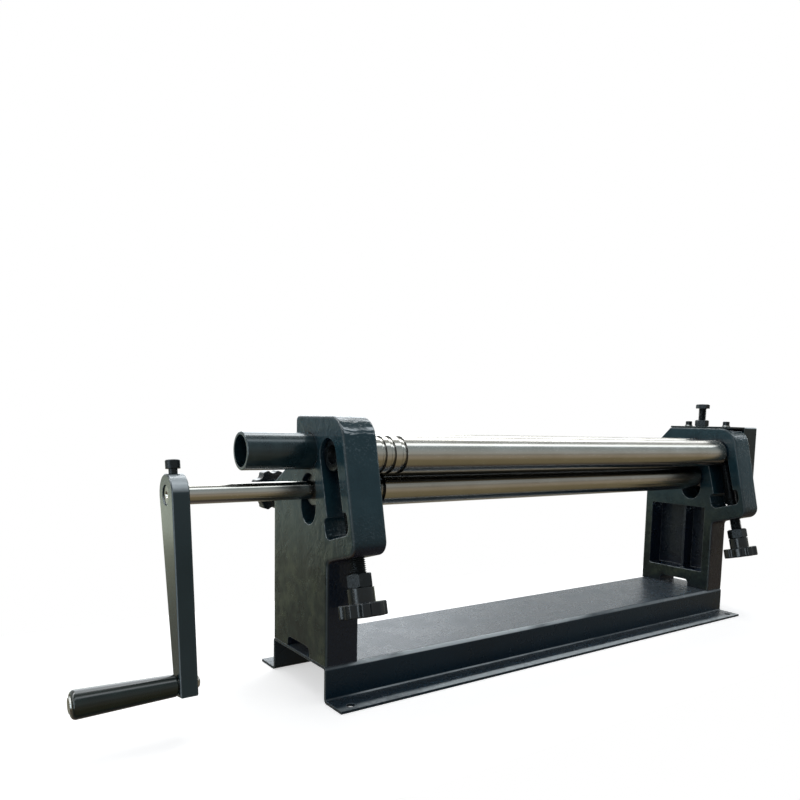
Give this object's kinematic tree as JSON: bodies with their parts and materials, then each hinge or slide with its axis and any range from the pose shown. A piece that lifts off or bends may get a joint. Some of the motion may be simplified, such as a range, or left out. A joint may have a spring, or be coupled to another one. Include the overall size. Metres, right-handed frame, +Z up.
{
  "type": "slip roll machine",
  "caption": "Hand-cranked bench slip roll: parallel steel rolls between cast side frames on a bent channel base, with star-knob adjusters, a geared drive and a release sleeve.",
  "frame": {"origin": "centre of the bolt pattern in the base flanges, on the underside of the base", "axes": "+X along the rolls towards the gears, +Y towards the rear adjusters, +Z up"},
  "size_m": [0.9651, 0.2468, 0.327],
  "materials": {
    "frame_enamel": "dark blue-green gloss enamel over a rough casting",
    "base_enamel": "dark gloss enamel on bent sheet",
    "crank_enamel": "dark gloss enamel",
    "cover_enamel": "dark gloss enamel on folded sheet",
    "roll_steel": "ground and polished",
    "bush_steel": "turned, oiled",
    "sleeve_steel": "turned and blued",
    "gear_steel": "milled",
    "black_oxide": "black oxide",
    "zinc_steel": "zinc plated",
    "knob_plastic": "moulded, slightly glossy",
    "grip_plastic": "moulded, glossy"
  },
  "bodies": {
    "stand": {"base_channel": "base_enamel", "left_frame": "frame_enamel", "right_frame": "frame_enamel", "frame_bolts": "black_oxide", "frame_washers": "black_oxide", "upper_bearing": "bush_steel", "clamp_bolt": "black_oxide", "clamp_nut": "black_oxide", "gear_cover": "cover_enamel", "cover_screws": "black_oxide", "cover_washers": "zinc_steel"},
    "sleeve": {"release_sleeve": "sleeve_steel"},
    "upper_roll_set": {"upper_roll": "roll_steel", "upper_gear": "gear_steel", "upper_gear_key": "gear_steel", "upper_circlip": "black_oxide"},
    "lower_carriage": {"lower_bearing_left": "bush_steel", "lower_bearing_right": "bush_steel"},
    "lower_roll_set": {"lower_roll": "roll_steel", "lower_gear": "gear_steel", "lower_gear_key": "gear_steel", "lower_circlip": "black_oxide", "crank_arm": "crank_enamel", "crank_set_screw": "black_oxide", "grip_spindle": "zinc_steel", "grip_nut": "zinc_steel"},
    "handle": {"grip": "grip_plastic"},
    "wedge_pins": {"lower_pin_left": "black_oxide", "lower_pin_right": "black_oxide"},
    "lower_adjuster_left": {"lower_screw_left": "black_oxide", "lower_nut_left": "black_oxide", "lower_knob_left": "knob_plastic"},
    "lower_adjuster_right": {"lower_screw_right": "black_oxide", "lower_nut_right": "black_oxide", "lower_knob_right": "knob_plastic"},
    "bending_carriage": {"bending_bearing_left": "black_oxide", "bending_bearing_right": "black_oxide"},
    "bending_roll_set": {"bending_roll": "roll_steel"},
    "bending_adjuster_left": {"bending_screw_left": "black_oxide", "bending_nut_left": "black_oxide", "bending_knob_left": "knob_plastic"},
    "bending_adjuster_right": {"bending_screw_right": "black_oxide", "bending_nut_right": "black_oxide", "bending_knob_right": "knob_plastic"}
  },
  "joints": [
    {"name": "release_sleeve_pull", "type": "slide", "parent": "stand", "child": "sleeve", "axis": [-1, 0, 0], "range_m": [0, 0.03]},
    {"name": "upper_roll_turn", "type": "hinge", "parent": "stand", "child": "upper_roll_set", "pos_m": [0, -0.022, 0.254], "axis": [1, 0, 0], "continuous": true},
    {"name": "lower_carriage_lift", "type": "slide", "parent": "stand", "child": "lower_carriage", "axis": [0, 0, 1], "range_m": [-0.003, 0.0003]},
    {"name": "crank_turn", "type": "hinge", "parent": "lower_carriage", "child": "lower_roll_set", "pos_m": [0, -0.022, 0.214], "axis": [1, 0, 0], "continuous": true},
    {"name": "grip_spin", "type": "hinge", "parent": "lower_roll_set", "child": "handle", "pos_m": [-0.537, -0.04891, 0.04412], "axis": [1, 0, 0], "continuous": true},
    {"name": "wedge_pins_push", "type": "slide", "parent": "stand", "child": "wedge_pins", "axis": [0, -1, 0], "range_m": [-0.003, 0.0003]},
    {"name": "lower_knob_left_turn", "type": "hinge", "parent": "wedge_pins", "child": "lower_adjuster_left", "pos_m": [-0.33125, 0.063, 0.202], "axis": [0, -1, 0], "range_deg": [-618, 62]},
    {"name": "lower_knob_right_turn", "type": "hinge", "parent": "wedge_pins", "child": "lower_adjuster_right", "pos_m": [0.33125, 0.063, 0.202], "axis": [0, -1, 0], "range_deg": [-618, 62]},
    {"name": "bending_carriage_lift", "type": "slide", "parent": "stand", "child": "bending_carriage", "axis": [0, 0.2588, 0.9659], "range_m": [-0.035, 0]},
    {"name": "bending_roll_turn", "type": "hinge", "parent": "bending_carriage", "child": "bending_roll_set", "pos_m": [0, -0.06295, 0.252], "axis": [1, 0, 0], "continuous": true},
    {"name": "bending_knob_left_turn", "type": "hinge", "parent": "bending_carriage", "child": "bending_adjuster_left", "pos_m": [-0.33125, -0.06295, 0.252], "axis": [0, 0.2588, 0.9659], "range_deg": [-6301, 1]},
    {"name": "bending_knob_right_turn", "type": "hinge", "parent": "bending_carriage", "child": "bending_adjuster_right", "pos_m": [0.33125, -0.06295, 0.252], "axis": [0, 0.2588, 0.9659], "range_deg": [-6301, 1]}
  ],
  "couplings": [
    {"joint": "upper_roll_turn", "follows": "crank_turn", "ratio": -1},
    {"joint": "bending_knob_left_turn", "follows": "bending_carriage_lift", "rad_per_m": 3141.6},
    {"joint": "bending_knob_right_turn", "follows": "bending_carriage_lift", "rad_per_m": 3141.6},
    {"joint": "wedge_pins_push", "follows": "lower_carriage_lift", "ratio": 1},
    {"joint": "lower_knob_left_turn", "follows": "lower_carriage_lift", "rad_per_m": 3590.4},
    {"joint": "lower_knob_right_turn", "follows": "lower_carriage_lift", "rad_per_m": 3590.4}
  ]
}
